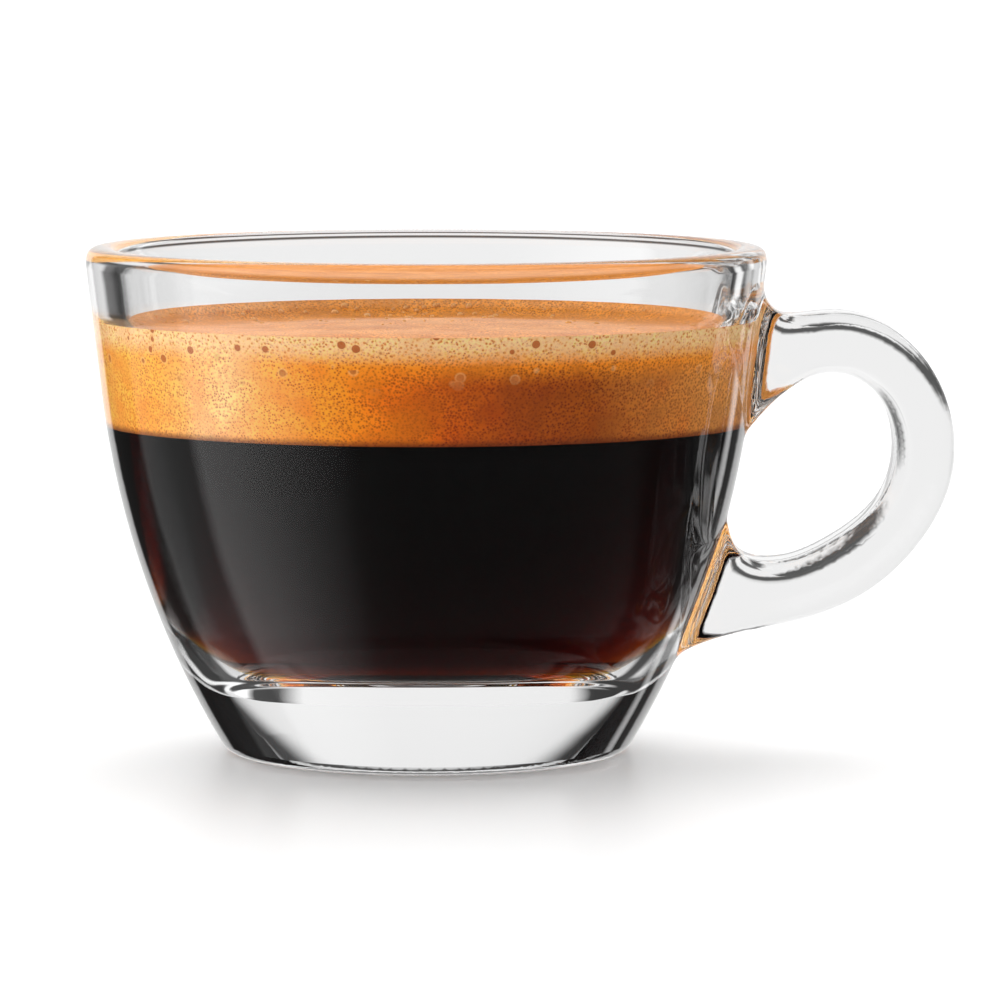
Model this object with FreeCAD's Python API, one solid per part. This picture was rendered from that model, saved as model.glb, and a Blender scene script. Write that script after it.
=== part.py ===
"""Double espresso in a clear glass cup with a ring handle.

Millimetres, +Z up. The origin is on the cup's axis, in the plane that its foot stands on, and the
handle points along +X. Three pieces: the pressed glass cup with its handle, the coffee, and the
crema that floats on it.
"""
import FreeCAD
import Part

import math
import os

from FreeCAD import Vector

# cup, outside
MOUTH_DIAMETER = 76.8        # the outside cone carried up to the height of the rim
CUP_HEIGHT = 56.9
FOOT_DIAMETER = 45.2         # where the outside would meet the ground without its rounding
WALL_LEAN = 6.75             # degrees, the upper wall from upright
STRAIGHT_WALL = 16.7         # height below the rim over which the outside is a plain cone
FOOT_ROUNDING = 2.4

# cup, inside
WALL = 3.7                   # glass thickness of the upper wall, across the cup
BASE_THICKNESS = 11.6        # solid glass under the coffee
BOWL_TOP = 50.0              # height at which the inside leaves the plain cone
BOWL_EASE = 3.0              # length over which it still follows that cone
FLOOR_RADIUS = 14.0          # flat middle of the floor
BOWL_CORNER = 10.0           # roundness between the floor and the side, larger is squarer

# underside
RECESS_DIAMETER = 31.0       # shallow hollow that leaves a ring to stand on
RECESS_DEPTH = 0.9

# handle
HANDLE_WIDTH = 12.0          # across its flat sides, along Y
HANDLE_EDGE = 2.6            # rounding of its four long edges
ROOT_FILLET = 3.2            # where it runs into the wall

# Outer and inner edge of the handle, from the upper root round to the lower one. Each point is
# the distance out from the wall at that height, and the drop below the rim.
HANDLE_OUTER = [
    (-1.2, 5.4), (0.6, 7.3), (3.4, 7.7), (8.5, 7.3), (14.0, 8.7), (19.3, 13.0), (22.8, 19.4),
    (23.9, 25.1), (22.5, 32.4), (17.0, 39.5), (9.9, 42.3), (4.3, 43.6), (0.6, 45.2), (-1.4, 46.9),
]
HANDLE_INNER = [
    (-1.2, 22.6), (0.8, 19.4), (4.0, 15.9), (8.6, 14.0), (13.2, 15.7), (16.6, 21.0),
    (16.7, 27.9), (12.3, 33.0), (6.5, 35.3), (2.6, 34.4), (0.3, 31.4), (-1.0, 28.4),
]

# drink: the coffee fills what is left between the crema and the cup's floor
FREE_ABOVE_CREMA = 7.7       # from the rim down to where the crema's edge has climbed the glass
CREMA_CLIMB = 1.9            # how far that edge stands above the low ring of the crema's top
CREMA_DOME = 1.1             # how far the middle of the crema stands above its low ring
CREMA_EDGE = 4.5             # distance of the low ring from the glass
CREMA_DEPTH = 9.9            # from the low ring to the coffee

LEAN = math.tan(math.radians(WALL_LEAN))
CREMA_LOW = CUP_HEIGHT - FREE_ABOVE_CREMA - CREMA_CLIMB
COFFEE_TOP = CREMA_LOW - CREMA_DEPTH
AXIS_UP = Vector(0, 0, 1)


def rz(radius, height):
    """Point of a section in the XZ plane."""
    return Vector(radius, 0, height)


def turned(edges):
    """Solid made by turning a closed section in the XZ plane about the cup's axis."""
    face = Part.Face(Part.Wire(edges))
    return face.revolve(Vector(0, 0, 0), AXIS_UP, 360)


def cone_radius(height):
    """Outside of the plain cone below the rim."""
    return MOUTH_DIAMETER / 2 - LEAN * (CUP_HEIGHT - height)


def bore_radius(height):
    """Inside of the plain cone below the rim."""
    return cone_radius(height) - WALL


# The outside leaves the cone at BEND and follows one arc, tangent to the cone, down to FOOT.
BEND = rz(cone_radius(CUP_HEIGHT - STRAIGHT_WALL), CUP_HEIGHT - STRAIGHT_WALL)
FOOT = rz(FOOT_DIAMETER / 2, 0)
ACROSS_WALL = Vector(-math.cos(math.radians(WALL_LEAN)), 0, math.sin(math.radians(WALL_LEAN)))
CHORD = FOOT - BEND
ARC_RADIUS = CHORD.dot(CHORD) / (2 * CHORD.dot(ACROSS_WALL))
ARC_CENTRE = BEND + ACROSS_WALL * ARC_RADIUS


def outer_radius(height):
    """Radius of the cup's outside at a height."""
    if height >= BEND.z:
        return cone_radius(height)
    rise = height - ARC_CENTRE.z
    return ARC_CENTRE.x + math.sqrt(ARC_RADIUS ** 2 - rise ** 2)


def cup_block():
    """The cup's outside as a full solid with a rounded foot."""
    lip = rz(cone_radius(CUP_HEIGHT), CUP_HEIGHT)
    waist = rz(outer_radius(BEND.z / 2), BEND.z / 2)
    solid = turned([
        Part.makeLine(lip, BEND),
        Part.Arc(BEND, waist, FOOT).toShape(),
        Part.makeLine(FOOT, rz(0, 0)),
        Part.makeLine(rz(0, 0), rz(0, CUP_HEIGHT)),
        Part.makeLine(rz(0, CUP_HEIGHT), lip),
    ])
    foot_edge = [e for e in solid.Edges if on_circle(e, FOOT.x, 0)]
    return solid.makeFillet(FOOT_ROUNDING, foot_edge)


def on_circle(edge, radius, height):
    """Whether an edge is the level circle of this radius and height about the axis."""
    box = edge.BoundBox
    level = box.ZLength < 1e-6 and abs(box.ZMin - height) < 1e-6
    return level and abs(box.XMax - radius) < 1e-6


def cavity():
    """All that the glass goes round, from the cup's floor to well above the rim."""
    above = CUP_HEIGHT + WALL
    mouth = rz(bore_radius(above), above)
    bowl_start = rz(bore_radius(BOWL_TOP), BOWL_TOP)
    eased = rz(bore_radius(BOWL_TOP - BOWL_EASE), BOWL_TOP - BOWL_EASE)
    corner = rz(FLOOR_RADIUS + BOWL_CORNER, BASE_THICKNESS)
    floor_edge = rz(FLOOR_RADIUS, BASE_THICKNESS)
    floor = rz(0, BASE_THICKNESS)
    bowl = Part.BezierCurve()
    bowl.setPoles([bowl_start, eased, corner, floor_edge])
    return turned([
        Part.makeLine(mouth, bowl_start),
        bowl.toShape(),
        Part.makeLine(floor_edge, floor),
        Part.makeLine(floor, rz(0, above)),
        Part.makeLine(rz(0, above), mouth),
    ])


def underside_recess():
    """Ball whose cap is the shallow hollow under the base."""
    radius = RECESS_DIAMETER / 2
    ball_radius = (radius ** 2 + RECESS_DEPTH ** 2) / (2 * RECESS_DEPTH)
    return Part.makeSphere(ball_radius, Vector(0, 0, RECESS_DEPTH - ball_radius))


def handle_curve(points):
    """Curve through points given as distance out from the wall and drop below the rim."""
    heights = [CUP_HEIGHT - drop for _, drop in points]
    places = [rz(outer_radius(height) + out, height) for (out, _), height in zip(points, heights)]
    curve = Part.BSplineCurve()
    curve.interpolate(Points=places)
    return curve.toShape(), places[0], places[-1]


def handle():
    """Flat-sided ring with rounded edges, its two roots sunk into the wall."""
    outer, outer_top, outer_low = handle_curve(HANDLE_OUTER)
    inner, inner_top, inner_low = handle_curve(HANDLE_INNER)
    outline = Part.Wire(Part.sortEdges([
        outer, Part.makeLine(outer_low, inner_low), inner, Part.makeLine(inner_top, outer_top),
    ])[0])
    section = Part.Face(outline)
    section.translate(Vector(0, -HANDLE_WIDTH / 2, 0))
    solid = section.extrude(Vector(0, HANDLE_WIDTH, 0))
    long_edges = [e for e in solid.Edges if e.Curve.TypeId == "Part::GeomBSplineCurve"]
    return solid.makeFillet(HANDLE_EDGE, long_edges)


def glass_cup(bore):
    """Body, rounded rim, handle and recess as one piece of glass."""
    body = cup_block().cut(bore)
    rim_edges = [e for e in body.Edges if on_circle(e, cone_radius(CUP_HEIGHT), CUP_HEIGHT)
                 or on_circle(e, bore_radius(CUP_HEIGHT), CUP_HEIGHT)]
    body = body.makeFillet(0.49 * WALL, rim_edges)
    cup = body.fuse(handle())
    roots = [e for e in cup.Edges if is_root(e)]
    return cup.makeFillet(ROOT_FILLET, roots).cut(underside_recess())


def is_root(edge):
    """Whether an edge is where the handle meets the outside of the wall."""
    middle = edge.valueAt((edge.FirstParameter + edge.LastParameter) / 2)
    ends = [v.Point for v in edge.Vertexes] + [middle]
    return middle.x > 0 and all(
        0 < p.z < CUP_HEIGHT - WALL / 2
        and abs(p.y) < HANDLE_WIDTH / 2 + 1e-3
        and abs(math.hypot(p.x, p.y) - outer_radius(p.z)) < 1e-3
        for p in ends
    )


def level_slab(low, high):
    """Everything between two heights, wider than the cup."""
    slab = Part.makeCylinder(MOUTH_DIAMETER, high - low)
    slab.translate(Vector(0, 0, low))
    return slab


def crema_top():
    """What lies below the crema's top: a low dome whose edge climbs the glass."""
    low_radius = bore_radius(CREMA_LOW) - CREMA_EDGE
    edge_height = CREMA_LOW + CREMA_CLIMB
    edge = rz(bore_radius(edge_height), edge_height)
    past_edge = rz(edge.x + WALL, edge_height)
    top = Part.BSplineCurve()
    top.interpolate(
        Points=[rz(0, CREMA_LOW + CREMA_DOME), rz(low_radius, CREMA_LOW), edge],
        InitialTangent=Vector(1, 0, 0),
        FinalTangent=Vector(0.6, 0, 1),
    )
    return turned([
        top.toShape(),
        Part.makeLine(edge, past_edge),
        Part.makeLine(past_edge, rz(past_edge.x, 0)),
        Part.makeLine(rz(past_edge.x, 0), rz(0, 0)),
        Part.makeLine(rz(0, 0), rz(0, CREMA_LOW + CREMA_DOME)),
    ])


def main():
    os.makedirs("parts", exist_ok=True)
    bore = cavity()
    pieces = {
        "glass_cup": glass_cup(bore),
        "coffee": bore.common(level_slab(0, COFFEE_TOP)),
        "crema": bore.common(level_slab(COFFEE_TOP, CUP_HEIGHT)).common(crema_top()),
    }
    for name, piece in pieces.items():
        solid = piece.Solids[0]
        solid.exportStep("parts/" + name + ".step")
        print(name, "solids", len(piece.Solids), "valid", solid.isValid(),
              "volume ml %.1f" % (solid.Volume / 1000))


main()
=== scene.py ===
"""A double espresso in its clear glass cup: the finish of the glass, coffee and crema, the studio
round them and the camera. Lengths are in metres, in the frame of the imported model."""

import math
import random

import bpy
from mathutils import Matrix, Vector, noise


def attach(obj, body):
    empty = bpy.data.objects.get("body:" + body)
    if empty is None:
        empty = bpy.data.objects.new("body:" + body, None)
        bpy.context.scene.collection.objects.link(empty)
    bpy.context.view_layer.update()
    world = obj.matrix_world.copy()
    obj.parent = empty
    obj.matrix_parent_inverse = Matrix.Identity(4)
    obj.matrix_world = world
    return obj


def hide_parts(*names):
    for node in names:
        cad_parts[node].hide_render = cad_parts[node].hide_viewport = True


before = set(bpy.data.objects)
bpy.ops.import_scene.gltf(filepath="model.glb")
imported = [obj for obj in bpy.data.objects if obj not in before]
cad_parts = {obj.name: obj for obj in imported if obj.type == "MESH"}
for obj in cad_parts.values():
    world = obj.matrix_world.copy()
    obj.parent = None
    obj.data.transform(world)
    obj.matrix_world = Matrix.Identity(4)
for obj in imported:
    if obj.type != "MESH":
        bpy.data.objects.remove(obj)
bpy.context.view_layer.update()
MM = 0.001


# ---- camera: level with the table top, a long lens turned a few degrees down -------------------
CAMERA_AWAY = 653.2 * MM
CAMERA_UP = 92.0 * MM
CAMERA_SIDE = 8.25 * MM
CAMERA_DOWN = math.radians(5.576)
LENS = 209.7

camera = bpy.data.objects.new("camera", bpy.data.cameras.new("camera"))
bpy.context.scene.collection.objects.link(camera)
camera.location = (CAMERA_SIDE, -CAMERA_AWAY, CAMERA_UP)
camera.rotation_euler = (math.radians(90) - CAMERA_DOWN, 0, 0)
camera.data.lens = LENS
camera.data.sensor_width = 36
camera.data.clip_start = 0.01
camera.data.clip_end = 60
bpy.context.scene.camera = camera


# ---- studio: a white sweep behind, black flags at its edges, soft boxes to the left ------------
# Glass is drawn by what it bends into view, so the room is a ring of bands by compass angle,
# counted from the camera, positive to its right. The camera, mirror images, views through glass
# and matt things each get a room of their own, which no real studio does.
def linear(hex_colour):
    """An sRGB colour such as "#C08040" as linear red, green, blue and alpha."""
    parts = [int(hex_colour[i:i + 2], 16) / 255 for i in (1, 3, 5)]
    return tuple(c / 12.92 if c <= 0.04045 else ((c + 0.055) / 1.055) ** 2.4 for c in parts) + (1,)


def add_node(tree, kind, settings=None, feeds=None):
    """A node with its settings, and what feeds its inputs: sockets, numbers or colours."""
    node = tree.nodes.new(kind)
    for name, value in (settings or {}).items():
        setattr(node, name, value)
    for name, value in (feeds or {}).items():
        if isinstance(value, bpy.types.NodeSocket):
            tree.links.new(value, node.inputs[name])
        else:
            node.inputs[name].default_value = value
    return node


# Compass angle in degrees, and how bright the room is there. Mirror images on the outside of the
# glass show the first list and what is bent through the glass shows the second.
MIRRORED_BANDS = [
    (-180, 1.0), (-156, 1.0), (-153, 0.04), (-128, 0.05), (-124, 0.40), (-96, 0.35), (-90, 1.3),
    (-72, 1.1), (-46, 0.50), (-26, 0.08), (-10, 0.04), (60, 0.04), (138, 0.05), (141, 1.8),
    (144, 1.8), (146, 0.10), (153, 0.10), (156, 1.0), (180, 1.0),
]
BENT_LOW = [                 # up to a low height: black cards stand beside a white sweep
    (-180, 0.93), (-154, 0.93), (-149, 0.05), (-122, 0.05), (-118, 0.35), (-98, 0.12),
    (-93, 0.08), (-91, 1.20), (-60, 0.75), (-34, 0.06), (60, 0.03), (130, 0.05), (139, 0.05),
    (141, 1.2), (145, 1.2), (147, 0.06), (155, 0.05), (160, 0.93), (180, 0.93),
]
BENT_HIGH = [                # above the cards: the sweep is wide
    (-180, 0.93), (-118, 0.95), (-100, 0.10), (-93, 0.08), (-91, 1.20), (-60, 0.75), (-34, 0.10),
    (60, 0.05), (104, 0.08), (122, 0.95), (180, 0.93),
]
CARDS_FROM, CARDS_FULL = 0.16, 0.26       # sines of elevation at which the cards end
# The same by sine of elevation: the dark ceiling with its two lamps, as mirrored and as bent, and
# the white table with its dark edges.
CEILING_FROM, CEILING_FULL = 0.50, 0.60
CEILING_MIRRORED = 0.08
CEILING_SEEN = [(-1.0, 0.06), (0.64, 0.06), (0.68, 0.95), (0.78, 0.95), (0.81, 0.06), (0.88, 0.06),
                (0.91, 0.9), (1.0, 0.9)]
TABLE_FROM, TABLE_FULL = -0.19, -0.27
TABLE_SEEN = [(-1.0, 0.92), (-0.64, 0.92), (-0.60, 0.10), (-0.53, 0.10), (-0.49, 0.92),
              (-0.37, 0.92), (-0.33, 0.10), (1.0, 0.10)]

# What lights matt things: walls by compass angle, the big light above and behind, the floor.
WALL_FILL = [(-180, 1.1), (-130, 1.3), (-60, 1.3), (0, 0.45), (90, 0.40), (150, 1.0), (180, 1.1)]
ABOVE_FILL = [(-180, 3.2), (-110, 1.6), (-60, 1.2), (0, 0.5), (60, 0.7), (110, 1.5), (180, 3.2)]
FLOOR_FILL = 0.6
# The same for what lies behind the glass, which shades the room's front from it.
DRINK_FILL = [(-180, 2.2), (-120, 6.8), (-60, 7.6), (-30, 2.5), (0, 1.60), (60, 1.60), (100, 1.8),
              (140, 2.2), (180, 2.2)]
DRINK_ABOVE, DRINK_BELOW = 1.6, 0.70

world = bpy.data.worlds.new("studio")
bpy.context.scene.world = world
world.use_nodes = True
tree = world.node_tree
tree.nodes.clear()
direction = add_node(tree, "ShaderNodeTexCoord").outputs["Generated"]
split = add_node(tree, "ShaderNodeSeparateXYZ", None, {"Vector": direction}).outputs
forward = add_node(tree, "ShaderNodeMath", {"operation": "MULTIPLY"}, {0: split["Y"], 1: -1})
compass = add_node(tree, "ShaderNodeMath", {"operation": "ARCTAN2"},
                   {0: split["X"], 1: forward.outputs[0]}).outputs[0]
turn = add_node(tree, "ShaderNodeMapRange", None,
                {"Value": compass, "From Min": -math.pi, "From Max": math.pi}).outputs[0]
height = add_node(tree, "ShaderNodeMapRange", None,
                  {"Value": split["Z"], "From Min": -1}).outputs[0]


def grey(level):
    """A light with no colour."""
    return (level, level, level, 1)


def set_stops(ramp, stops):
    """Gives a colour ramp its stops, as (position, colour)."""
    elements = ramp.color_ramp.elements
    elements.remove(elements[1])
    for index, (position, colour) in enumerate(stops):
        stop = elements[0] if index == 0 else elements.new(position)
        stop.position = position
        stop.color = colour


room = {}
for name, place, low, high, levels in (
        ("mirrored", turn, -180, 180, MIRRORED_BANDS),
        ("bent low", turn, -180, 180, BENT_LOW),
        ("bent high", turn, -180, 180, BENT_HIGH),
        ("walls", turn, -180, 180, WALL_FILL),
        ("above", turn, -180, 180, ABOVE_FILL),
        ("round drink", turn, -180, 180, DRINK_FILL),
        ("ceiling", height, -1, 1, CEILING_SEEN),
        ("table", height, -1, 1, TABLE_SEEN)):
    bands = add_node(tree, "ShaderNodeValToRGB", None, {"Fac": place})
    set_stops(bands, [((value - low) / (high - low), grey(level)) for value, level in levels])
    room[name] = bands.outputs["Color"]

# how far a ray has climbed from one sine of elevation to another, from 0 to 1
climbed = {}
for name, low, high in (
        ("off the floor", -0.02, 0.02), ("up the walls", 0.3, 0.5),
        ("off the drink's floor", -0.10, 0.02), ("up the drink's walls", 0.4, 0.6),
        ("over the cards", CARDS_FROM, CARDS_FULL), ("to the ceiling", CEILING_FROM, CEILING_FULL),
        ("off the table", TABLE_FULL, TABLE_FROM)):
    climbed[name] = add_node(tree, "ShaderNodeMapRange", {"interpolation_type": "SMOOTHSTEP"},
                             {"Value": split["Z"], "From Min": low, "From Max": high}).outputs[0]

# which room a ray gets; what lies behind glass is lit by the drink's room
rays = add_node(tree, "ShaderNodeLightPath").outputs
before_matt = add_node(tree, "ShaderNodeMath", {"operation": "LESS_THAN"},
                       {0: rays["Diffuse Depth"], 1: 0.5}).outputs[0]
for name, share, first, second in (
        ("matt sides", climbed["up the walls"], "walls", "above"),
        ("matt", climbed["off the floor"], grey(FLOOR_FILL), "matt sides"),
        ("drink sides", climbed["up the drink's walls"], "round drink", grey(DRINK_ABOVE)),
        ("drink", climbed["off the drink's floor"], grey(DRINK_BELOW), "drink sides"),
        ("mirror", climbed["to the ceiling"], "mirrored", grey(CEILING_MIRRORED)),
        ("bent sides", climbed["over the cards"], "bent low", "bent high"),
        ("bent up", climbed["to the ceiling"], "bent sides", "ceiling"),
        ("bent", climbed["off the table"], "table", "bent up"),
        ("through glass", before_matt, "drink", "bent"),
        ("mirror or matt", rays["Is Glossy Ray"], "matt", "mirror"),
        ("all but camera", rays["Is Transmission Ray"], "mirror or matt", "through glass"),
        ("light", rays["Is Camera Ray"], "all but camera", grey(1.0))):
    room[name] = add_node(tree, "ShaderNodeMix", {"data_type": "RGBA"},
                          {"Factor": share, 6: room.get(first, first),
                           7: room.get(second, second)}).outputs[2]
background = add_node(tree, "ShaderNodeBackground", None, {"Color": room["light"]})
add_node(tree, "ShaderNodeOutputWorld", None, {"Surface": background.outputs[0]})


def new_object(name, mesh):
    """An object for a mesh, in the scene."""
    piece = bpy.data.objects.new(name, mesh)
    bpy.context.scene.collection.objects.link(piece)
    return piece


FLOOR_REACH = 14.0
FLOOR_BELOW = 0.05 * MM            # a hair under the foot, so that the two don't share a plane
floor_mesh = bpy.data.meshes.new("floor")
floor_mesh.from_pydata([(x * FLOOR_REACH, y * FLOOR_REACH, -FLOOR_BELOW)
                        for x, y in ((-1, -1), (1, -1), (1, 1), (-1, 1))], [], [(0, 1, 2, 3)])
floor = new_object("floor", floor_mesh)
floor.visible_glossy = False
floor.visible_transmission = False
# white acrylic, satin; a little light of its own keeps it white to its far edge
white_sheet = bpy.data.materials.new("white acrylic sheet")
white_sheet.use_nodes = True
shader = white_sheet.node_tree.nodes["Principled BSDF"]
shader.inputs["Base Color"].default_value = linear("#F7F7F7")
shader.inputs["Roughness"].default_value = 0.35
shader.inputs["Specular IOR Level"].default_value = 0.20
shader.inputs["Emission Color"].default_value = (1, 1, 1, 1)
shader.inputs["Emission Strength"].default_value = 0.10
floor_mesh.materials.append(white_sheet)

# colours as they are, and enough bounces for glass, liquid and glass again
scene = bpy.context.scene
scene.view_settings.view_transform = "Standard"
scene.view_settings.look = "None"
scene.view_settings.exposure = 0.0
scene.cycles.max_bounces = 32
scene.cycles.transmission_bounces = 32
scene.cycles.glossy_bounces = 16
scene.cycles.diffuse_bounces = 6
scene.cycles.transparent_max_bounces = 32
scene.cycles.use_denoising = True


# ---- coffee: still dark liquid that fills the glass bowl up to the crema -----------------------
# Black where it is deep, red and amber where light crosses only a few millimetres of it. Its skin
# reaches a little into the glass and stands for the surface where glass and coffee meet.
BORE_TOP = (34.511, 55.300)        # radius and height in mm, where the rounded rim begins
BOWL_CURVE = [(33.883, 50.0), (33.528, 47.0), (24.0, 11.6), (14.0, 11.6)]
FLOOR_HEIGHT = 11.6
COFFEE_LEVEL = 37.4
CREMA_EDGE = 49.08                 # where the crema's edge ends on the glass
INTO_GLASS = 0.05
RIPPLE = 0.10                      # faint rings that the plunger leaves in the corner of the bowl
RIPPLE_LENGTH = 1.5
GLASS_IOR = 1.5
COFFEE_IOR = 1.34
SEGMENTS = 256


def on_curve(poles, u):
    """Point of a cubic curve with four poles."""
    weights = ((1 - u) ** 3, 3 * u * (1 - u) ** 2, 3 * u ** 2 * (1 - u), u ** 3)
    return tuple(sum(w * p[axis] for w, p in zip(weights, poles)) for axis in (0, 1))


def bowl_section(steps=110):
    """Inside of the glass as (radius, height) in mm, from the straight bore down to the axis."""
    points = [on_curve(BOWL_CURVE, (i / steps) ** 0.8) for i in range(steps + 1)]
    points += [(BOWL_CURVE[-1][0] * (1 - i / 8), FLOOR_HEIGHT) for i in range(1, 9)]
    waved = []
    for radius, height in points:
        fade = max(0.0, min(1.0, (20.0 - height) / 5)) * max(0.0, min(1.0, (radius - 13.0) / 2))
        wave = RIPPLE * fade * math.sin(2 * math.pi * (radius - height) / RIPPLE_LENGTH)
        waved.append((radius, height + wave))
    return waved


def cut_at(points, level):
    """A falling section with a point put in exactly at a level."""
    cut = []
    for first, second in zip(points, points[1:]):
        cut.append(first)
        if first[1] > level > second[1]:
            share = (first[1] - level) / (first[1] - second[1])
            cut.append((first[0] + share * (second[0] - first[0]), level))
    return cut + [points[-1]]


def turned(name, section, segments, relief=None):
    """A piece turned about the axis from a closed section that starts and ends on it, in mm."""
    points, rings = [], []
    for radius, height in section:
        count = 1 if radius < 1e-6 else segments
        rings.append(range(len(points), len(points) + count))
        for k in range(count):
            turn = 2 * math.pi * k / segments
            x, y = radius * math.cos(turn), radius * math.sin(turn)
            lift = relief(x, y, height) if relief else 0.0
            points.append((x * MM, y * MM, (height + lift) * MM))
    faces = []
    for low, high in zip(rings, rings[1:]):
        for k in range(segments):
            corners = [low[k % len(low)], low[(k + 1) % len(low)],
                       high[(k + 1) % len(high)], high[k % len(high)]]
            faces.append(tuple(dict.fromkeys(corners)))
    mesh = bpy.data.meshes.new(name)
    mesh.from_pydata(points, [], faces)
    mesh.shade_smooth()
    mesh.set_sharp_from_angle(angle=math.radians(40))
    piece = new_object(name, mesh)
    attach(piece, "root")
    return piece


def grown(points, distance):
    """A falling section moved out into the glass by a distance."""
    moved = []
    for i, (radius, height) in enumerate(points):
        before, after = points[max(i - 1, 0)], points[min(i + 1, len(points) - 1)]
        run, fall = after[0] - before[0], after[1] - before[1]
        length = math.hypot(run, fall)
        moved.append((max(radius - fall / length * distance, 0.0) if radius else 0.0,
                      height + run / length * distance))
    return moved


bowl = cut_at(cut_at(bowl_section(), CREMA_EDGE), COFFEE_LEVEL)
below = grown([p for p in bowl if p[1] <= COFFEE_LEVEL + 1e-9], INTO_GLASS)
coffee_section = below[::-1] + [(below[0][0], COFFEE_LEVEL), (0.0, COFFEE_LEVEL)]
coffee = turned("coffee_liquid", coffee_section, SEGMENTS)
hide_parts("coffee")
# a clear liquid that takes blue at once, then green, then red: amber when thin, black when deep
dark_coffee = bpy.data.materials.new("brewed coffee, clear dark liquid")
dark_coffee.use_nodes = True
tree = dark_coffee.node_tree
tree.nodes.clear()
skin = add_node(tree, "ShaderNodeBsdfGlass", None,
                {"Roughness": 0.0, "IOR": COFFEE_IOR / GLASS_IOR})
depth = add_node(tree, "ShaderNodeVolumeAbsorption", None,
                 {"Density": 1350.0, "Color": (0.90, 0.80, 0.10, 1)})
add_node(tree, "ShaderNodeOutputMaterial", None,
         {"Surface": skin.outputs[0], "Volume": depth.outputs[0]})
coffee.data.materials.append(dark_coffee)


# ---- crema: a deep layer of fine golden-brown foam floating on the coffee ----------------------
# Beaten gas and coffee oils: close fine bubbles, larger ones along its top edge where it clings to
# the glass, a low dome in the middle. It darkens to brown where it drains into the coffee.
CREMA_TOP = [(33.73, 49.08), (31.9, 47.75), (29.5, 47.3), (24.0, 47.45), (12.0, 48.2), (0.0, 48.4)]


def smooth_through(stops, steps):
    """Points on a smooth curve through stops given as (radius, height), from wall to axis."""
    curve = []
    for i in range(len(stops) - 1):
        before, start = stops[max(i - 1, 0)], stops[i]
        end, after = stops[i + 1], stops[min(i + 2, len(stops) - 1)]
        count = max(2, round(steps * (start[0] - end[0]) / stops[0][0]))
        for k in range(count):
            u = k / count
            curve.append(tuple(
                0.5 * (2 * start[a] + (end[a] - before[a]) * u
                       + (2 * before[a] - 5 * start[a] + 4 * end[a] - after[a]) * u ** 2
                       + (3 * start[a] - before[a] - 3 * end[a] + after[a]) * u ** 3)
                for a in (0, 1)))
    return curve + [stops[-1]]


def foam_relief(x, y, height):
    """Gentle unevenness of the crema's top, none where it meets the glass or the coffee."""
    room = (34.2 - math.hypot(x, y)) / 4
    if height < 46.5 or room <= 0.12:
        return 0.0
    broad = noise.noise(Vector((x / 7, y / 7, 0.3)))
    fine = noise.noise(Vector((x / 1.1, y / 1.1, 5.1)))
    return min(1.0, room) * (0.16 * broad + 0.035 * fine)


beside = grown([p for p in bowl if COFFEE_LEVEL - 1e-9 <= p[1] <= CREMA_EDGE + 1e-9], INTO_GLASS)
crema_section = ([(0.0, COFFEE_LEVEL - INTO_GLASS), (beside[-1][0], COFFEE_LEVEL - INTO_GLASS)]
                 + beside[::-1] + smooth_through(CREMA_TOP, 90))
crema = turned("crema_foam", crema_section, 384, foam_relief)
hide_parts("crema")

foam = bpy.data.materials.new("espresso crema, fine wet foam")
foam.use_nodes = True
tree = foam.node_tree
shader = tree.nodes["Principled BSDF"]
# wet foam: a soft sheen that shows only at a low angle
shader.inputs["Roughness"].default_value = 0.42
shader.inputs["Specular IOR Level"].default_value = 0.20
place = add_node(tree, "ShaderNodeTexCoord").outputs["Object"]
in_mm = add_node(tree, "ShaderNodeVectorMath", {"operation": "SCALE"},
                 {"Vector": place, "Scale": 1 / MM}).outputs["Vector"]
axes = add_node(tree, "ShaderNodeSeparateXYZ", None, {"Vector": in_mm}).outputs
facing = add_node(tree, "ShaderNodeSeparateXYZ", None, {
    "Vector": add_node(tree, "ShaderNodeNewGeometry").outputs["Normal"]}).outputs
level = add_node(tree, "ShaderNodeVectorMath", {"operation": "MULTIPLY"},
                 {0: in_mm, 1: (1, 1, 0)}).outputs[0]
from_axis = add_node(tree, "ShaderNodeVectorMath", {"operation": "LENGTH"},
                     {0: level}).outputs["Value"]

# unevenness: clouds 6 mm across in the body, swirls of 10 mm on top, patches of bubbles of 3 mm
cloud = add_node(tree, "ShaderNodeTexNoise", None,
                 {"Vector": in_mm, "Scale": 0.16, "Detail": 4.0, "Roughness": 0.6}).outputs[0]
swirl = add_node(tree, "ShaderNodeTexNoise", None,
                 {"Vector": in_mm, "Scale": 0.10, "Detail": 5.0, "Roughness": 0.65,
                  "Distortion": 1.2}).outputs[0]
patches = add_node(tree, "ShaderNodeTexNoise", None,
                   {"Vector": in_mm, "Scale": 0.30, "Detail": 2.0}).outputs[0]
# bubbles: a close grain 0.3 mm apart all over, beads 0.45 mm apart under the edge, a few of 2 mm
grain, beads, large = (
    add_node(tree, "ShaderNodeTexVoronoi", None, {"Vector": in_mm, "Scale": scale}).outputs
    for scale in (3.4, 2.2, 0.50))
which_large = add_node(tree, "ShaderNodeSeparateColor", None, {"Color": large["Color"]}).outputs[0]

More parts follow.
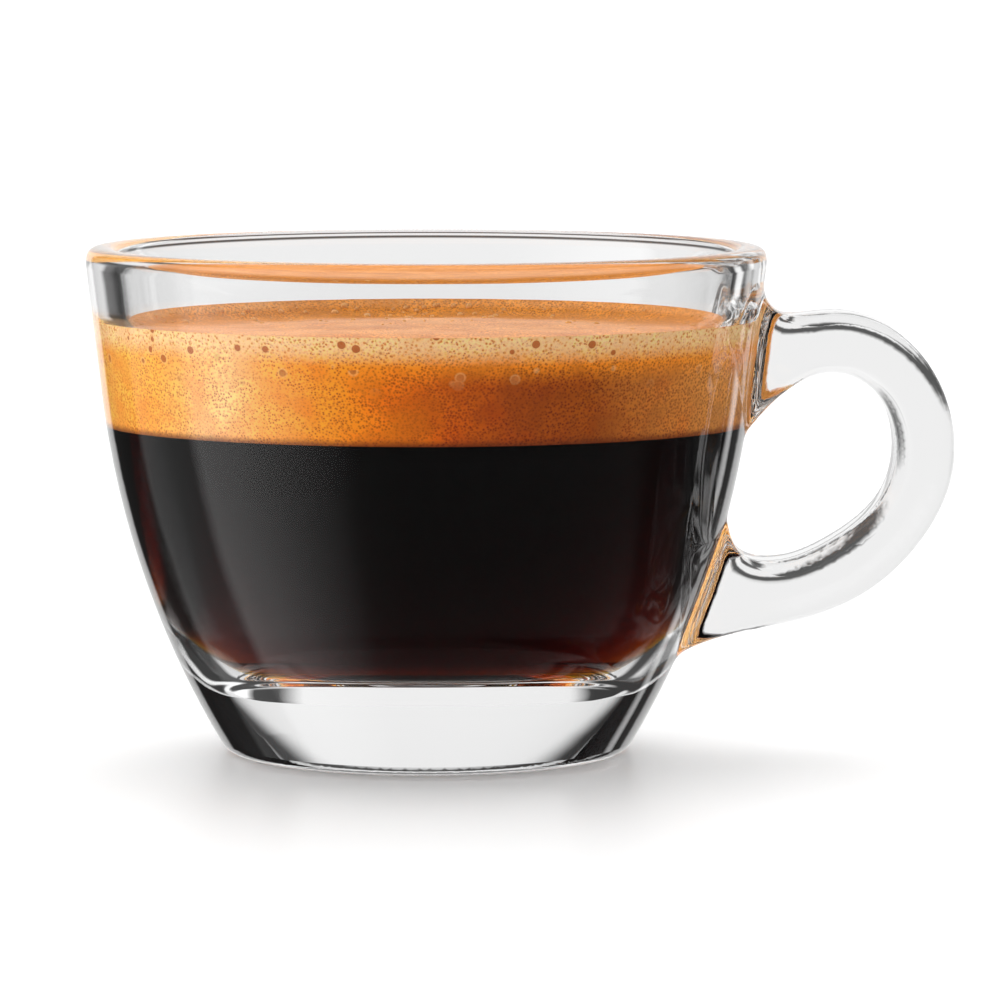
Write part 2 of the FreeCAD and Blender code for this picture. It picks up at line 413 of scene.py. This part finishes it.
# where each layer shows: what it goes by, none of it here, all of it there
shows = {}
for name, value, none, all_of_it in (
        ("clouds", cloud, 0.42, 0.70), ("swirls", swirl, 0.42, 0.62),
        ("to the glass", from_axis, 22.0, 31.0),
        ("up high", axes["Z"], 43.4, 47.0), ("not on the pale side", axes["X"], -22, -4),
        ("drained", axes["Z"], 38.3, 37.35), ("airy", axes["Z"], 45.7, 48.5),
        ("on top", facing["Z"], 0.55, 0.85), ("on the side", facing["Z"], 0.85, 0.55),
        ("grain pits", grain["Distance"], 0.34, 0.12),
        ("grain rims", grain["Distance"], 0.42, 0.62),
        ("under the edge", axes["Z"], 45.8, 48.3),
        ("bead pits", beads["Distance"], 0.36, 0.20), ("bead rims", beads["Distance"], 0.34, 0.52),
        ("few", which_large, 0.44, 0.46), ("upper half", axes["Z"], 42.5, 46.5),
        ("large pits", large["Distance"], 0.25, 0.20),
        ("large rims", large["Distance"], 0.36, 0.27)):
    shows[name] = add_node(tree, "ShaderNodeMapRange", {"interpolation_type": "SMOOTHSTEP"}, {
        "Value": value, "From Min": none, "From Max": all_of_it}).outputs[0]
shows["patchy"] = add_node(tree, "ShaderNodeMapRange", {"interpolation_type": "SMOOTHSTEP"}, {
    "Value": patches, "From Min": 0.34, "From Max": 0.60, "To Min": 0.45}).outputs[0]


def share(strength, *names):
    """How much of a layer shows: its strength, held back by all that it goes by."""
    shown = strength
    for name in names:
        shown = add_node(tree, "ShaderNodeMath", {"operation": "MULTIPLY"},
                         {0: shows[name], 1: shown}).outputs[0]
    return shown


def layered(colour, layers):
    """A colour with others over it, each as (how much shows, hex colour or socket, way)."""
    for shown, over, way in layers:
        over = linear(over) if isinstance(over, str) else over
        colour = add_node(tree, "ShaderNodeMix", {"data_type": "RGBA", "blend_type": way},
                          {"Factor": shown, 6: colour, 7: over}).outputs[2]
    return colour


# The tone of the side from -X to +X. Part of it is light and shade of the studio, which a foam
# this pale would otherwise lose.
across = add_node(tree, "ShaderNodeMapRange", None,
                  {"Value": axes["X"], "From Min": -34, "From Max": 34}).outputs[0]
tones = add_node(tree, "ShaderNodeValToRGB", None, {"Fac": across})
set_stops(tones, [(position, linear(tone)) for position, tone in (
    (0.0, "#F8AC4E"), (0.10, "#FAA640"), (0.20, "#FFC284"), (0.26, "#FFAA50"), (0.34, "#F4901E"),
    (0.44, "#DA720A"), (0.54, "#BA5404"), (0.65, "#984204"), (0.75, "#984804"), (0.88, "#C47630"),
    (0.96, "#D69048"), (1.0, "#E09C54"))])
side = layered(tones.outputs["Color"], [
    (share(0.40, "clouds"), "#FFC890", "MULTIPLY"),
    (share(0.90, "up high", "not on the pale side"), "#EE8A1C", "MIX"),
    (share(0.85, "drained"), "#6A2A08", "MIX"),
])
# tan and swirled on top, golden toward the glass
top = layered(linear("#D48C4A"), [
    (shows["swirls"], "#C67A38", "MIX"),
    (shows["to the glass"], "#CC7C20", "MIX"),
])
colour = layered(side, [
    (shows["on top"], top, "MIX"),
    (share(0.92, "airy", "on the side"), "#FFC284", "MIX"),
    # painted light on the bubbles: their pits are darkened with painted shade and their rims
    # lightened with painted highlights
    (share(0.95, "grain pits", "patchy"), "#AC6638", "MULTIPLY"),
    (share(0.90, "grain rims", "patchy"), "#9CA48C", "DODGE"),
    (share(0.50, "bead rims", "under the edge", "on the side"), "#FFD8A4", "MIX"),
    (share(0.75, "bead pits", "under the edge", "on the side"), "#D87C2A", "MIX"),
    (share(0.50, "large rims", "few", "upper half", "on the side"), "#FFC880", "MIX"),
    (share(0.85, "large pits", "few", "upper half", "on the side"), "#B84E06", "MIX"),
])
tree.links.new(colour, shader.inputs["Base Color"])
bubble_rims = add_node(tree, "ShaderNodeMath", {"operation": "ADD"}, {
    0: share(0.4, "grain rims"), 1: share(1.0, "bead rims", "under the edge", "on the side")})
relief_bump = add_node(tree, "ShaderNodeBump", None, {
    "Height": bubble_rims.outputs[0], "Strength": 0.5, "Distance": 0.06 * MM})
tree.links.new(relief_bump.outputs["Normal"], shader.inputs["Normal"])
crema.data.materials.append(foam)


# ---- bubbles: single larger bubbles standing on the crema, most of them along its edge ----------
# Thin coffee film round gas, shiny and half clear; they gather where the crema meets the glass.
BUBBLES = 420
BUBBLE_SIDES = 12
BUBBLE_RINGS = 5
random.seed(7)
top_curve = smooth_through(CREMA_TOP, 90)


def crema_height(radius):
    """Height of the crema's smooth top at a radius, in mm."""
    for (r1, z1), (r2, z2) in zip(top_curve, top_curve[1:]):
        if r2 <= radius <= r1:
            return z2 + (z1 - z2) * (radius - r2) / max(r1 - r2, 1e-9)
    return top_curve[0][1]


points, faces = [], []
for _ in range(BUBBLES):
    ball = 0.10 + 0.42 * random.random() ** 3.5
    from_wall = 0.25 + ball + 3.2 * random.random() ** 2.2 if random.random() < 0.86 \
        else 4 + 26 * random.random()
    radius, turn = 33.6 - from_wall, 2 * math.pi * random.random()
    x, y = radius * math.cos(turn), radius * math.sin(turn)
    z = crema_height(radius) + foam_relief(x, y, 48.0) - 0.25 * ball
    first = len(points)
    for ring in range(BUBBLE_RINGS):
        drop = math.radians(115) * (ring + 1) / BUBBLE_RINGS
        for k in range(BUBBLE_SIDES):
            side = 2 * math.pi * k / BUBBLE_SIDES
            points.append(((x + ball * math.sin(drop) * math.cos(side)) * MM,
                           (y + ball * math.sin(drop) * math.sin(side)) * MM,
                           (z + ball * math.cos(drop)) * MM))
    points.append((x * MM, y * MM, (z + ball) * MM))
    crown = len(points) - 1
    for k in range(BUBBLE_SIDES):
        after = (k + 1) % BUBBLE_SIDES
        faces.append((crown, first + k, first + after))
        for ring in range(BUBBLE_RINGS - 1):
            low = first + ring * BUBBLE_SIDES
            faces.append((low + k, low + BUBBLE_SIDES + k, low + BUBBLE_SIDES + after, low + after))
    faces.append(tuple(first + (BUBBLE_RINGS - 1) * BUBBLE_SIDES + k
                       for k in reversed(range(BUBBLE_SIDES))))
bubble_mesh = bpy.data.meshes.new("crema_bubbles")
bubble_mesh.from_pydata(points, [], faces)
bubble_mesh.shade_smooth()
bubbles = new_object("crema_bubbles", bubble_mesh)
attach(bubbles, "root")
# a wet film: the golden colour of the foam under a sharp gloss
film = bpy.data.materials.new("coffee film of a bubble, wet and shiny")
film.use_nodes = True
tree = film.node_tree
shader = tree.nodes["Principled BSDF"]
shader.inputs["Roughness"].default_value = 0.12
shader.inputs["Coat Weight"].default_value = 0.6
shader.inputs["Coat Roughness"].default_value = 0.05
shader.inputs["Base Color"].default_value = linear("#E8A862")
bubble_mesh.materials.append(film)


# ---- glass cup: pressed soda-lime glass, body and ring handle in one piece, fire-polished ------
# Clear and heavy, with a thick base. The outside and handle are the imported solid's own faces; the
# rim and bowl are turned anew from their section, so that they are even enough to look through.
RIM_RADIUS = 1.813
RIM_HEIGHT = 55.087                # centres of the two arcs of the rim
RIM_OUTER, RIM_INNER = 36.360, 36.311
RIM_POWER = 0.70                   # 1 is round, less is squarer, as fire-polishing leaves it
WALL_LEAN = 6.75                   # degrees from upright
FINER = 3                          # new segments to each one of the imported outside


def rim_arc(centre, start, end, steps=14):
    """Points of a rim arc between two angles in degrees."""
    arc = []
    for i in range(steps + 1):
        turn = math.radians(start + (end - start) * i / steps)
        out, up = math.cos(turn), math.sin(turn)
        if up > 0:
            out, up = math.copysign(abs(out) ** RIM_POWER, out), up ** RIM_POWER
        arc.append((centre + RIM_RADIUS * out, RIM_HEIGHT + RIM_RADIUS * up))
    return arc


straight = [(BORE_TOP[0] + (BOWL_CURVE[0][0] - BORE_TOP[0]) * i / 6,
             BORE_TOP[1] + (BOWL_CURVE[0][1] - BORE_TOP[1]) * i / 6) for i in range(1, 6)]
inside = (rim_arc(RIM_OUTER, -WALL_LEAN, 90) + rim_arc(RIM_INNER, 90, 180 - WALL_LEAN)
          + straight + bowl)


def bowl_radius(height):
    """Radius of the inside at a height below the rim, in mm."""
    for (r1, z1), (r2, z2) in zip(inside, inside[1:]):
        if z2 <= height <= z1:
            return r2 + (r1 - r2) * (height - z2) / max(z1 - z2, 1e-9)
    return BORE_TOP[0]


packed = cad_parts["glass_cup"].data
spots = [(math.hypot(v.co.x, v.co.y) / MM, v.co.z / MM) for v in packed.vertices]
welded, index_of, points = {}, [], []
for vertex in packed.vertices:
    key = tuple(round(c / MM, 4) for c in vertex.co)
    if key not in welded:
        welded[key] = len(points)
        points.append(vertex.co.copy())
    index_of.append(welded[key])


def is_turned_anew(face):
    """Whether a packed face belongs to the rim or to the inside of the bowl."""
    corners = [spots[v] for v in face.vertices]
    if all(height > inside[0][1] - 0.01 for _, height in corners):
        return True
    return all(FLOOR_HEIGHT - 0.01 < height < BORE_TOP[1] + 0.01
               and radius < bowl_radius(max(height, 12.5)) + 0.2 for radius, height in corners)


faces, normals, slots = [], [], []
for face in packed.polygons:
    corners = [index_of[v] for v in face.vertices]
    if not is_turned_anew(face) and len(set(corners)) == 3:
        faces.append(tuple(corners))
        normals.extend(packed.corner_normals[i].vector.copy() for i in face.loop_indices)
        slots.append(0)
kept_ring = sorted((i for i, p in enumerate(points) if abs(p.z / MM - inside[0][1]) < 0.01
                    and math.hypot(p.x, p.y) / MM > BORE_TOP[0] + 2),
                   key=lambda i: math.atan2(points[i].y, points[i].x))
coarse = [math.atan2(points[i].y, points[i].x) for i in kept_ring]
turns = []
for k, turn in enumerate(coarse):
    step = (coarse[(k + 1) % len(coarse)] - turn) % (2 * math.pi)
    turns.extend(turn + step * j / FINER for j in range(FINER))


def leaning(ring, turn):
    """Outward normal of the new surface at one of its rings."""
    before, after = inside[max(ring - 1, 0)], inside[min(ring + 1, len(inside) - 1)]
    run, fall = after[0] - before[0], after[1] - before[1]
    out, up = fall / math.hypot(run, fall), -run / math.hypot(run, fall)
    return Vector((out * math.cos(turn), out * math.sin(turn), up))


def add_face(corners, slot):
    """A face from corners given as (point, ring, turn)."""
    faces.append(tuple(point for point, _, _ in corners))
    normals.extend(leaning(ring, turn) for _, ring, turn in corners)
    slots.append(slot)


rings = [kept_ring]
for radius, height in inside[1:]:
    first = len(points)
    if radius > 1e-6:
        points.extend(Vector((radius * math.cos(t) * MM, radius * math.sin(t) * MM, height * MM))
                      for t in turns)
        rings.append(range(first, first + len(turns)))
    else:
        points.append(Vector((0, 0, height * MM)))
        rings.append([first])
for k, turn in enumerate(coarse):
    after = (k + 1) % len(coarse)
    here, there = (kept_ring[k], 0, turn), (kept_ring[after], 0, coarse[after])
    fine = [(rings[1][(k * FINER + j) % len(turns)], 1, turns[(k * FINER + j) % len(turns)])
            for j in range(FINER + 1)]
    for corners in ((here, fine[1], fine[0]), (here, there, fine[1]),
                    (there, fine[2], fine[1]), (there, fine[3], fine[2])):
        add_face(corners, 0)
for i in range(1, len(rings) - 1):
    high, low = rings[i], rings[i + 1]
    slot = 1 if inside[i][1] <= CREMA_EDGE + 1e-6 else 0
    for k, turn in enumerate(turns):
        n = (k + 1) % len(turns)
        corners = [(high[k], i, turn), (high[n], i, turns[n]),
                   (low[n % len(low)], i + 1, turns[n]), (low[k % len(low)], i + 1, turn)]
        add_face(corners if len(low) > 1 else corners[:3], slot)
cup_mesh = bpy.data.meshes.new("cup_glass")
cup_mesh.from_pydata(points, [], faces)
cup_mesh.shade_smooth()
cup_mesh.normals_split_custom_set(normals)
cup_mesh.polygons.foreach_set("material_index", slots)
cup = new_object("cup_glass", cup_mesh)
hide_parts("glass_cup")
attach(cup, "root")

# fire-polished soda-lime glass: perfectly smooth and free of colour
clear_glass = bpy.data.materials.new("clear pressed glass")
clear_glass.use_nodes = True
shader = clear_glass.node_tree.nodes["Principled BSDF"]
shader.inputs["Base Color"].default_value = (1, 1, 1, 1)
shader.inputs["Roughness"].default_value = 0.0
shader.inputs["IOR"].default_value = GLASS_IOR
shader.inputs["Transmission Weight"].default_value = 1.0
cup_mesh.materials.append(clear_glass)

# where the drink wets the glass there is no air, so this face is left to the drink's own skin
wetted = bpy.data.materials.new("glass face wetted by the drink")
wetted.use_nodes = True
tree = wetted.node_tree
tree.nodes.clear()
clear = add_node(tree, "ShaderNodeBsdfTransparent")
add_node(tree, "ShaderNodeOutputMaterial", None, {"Surface": clear.outputs[0]})
cup_mesh.materials.append(wetted)
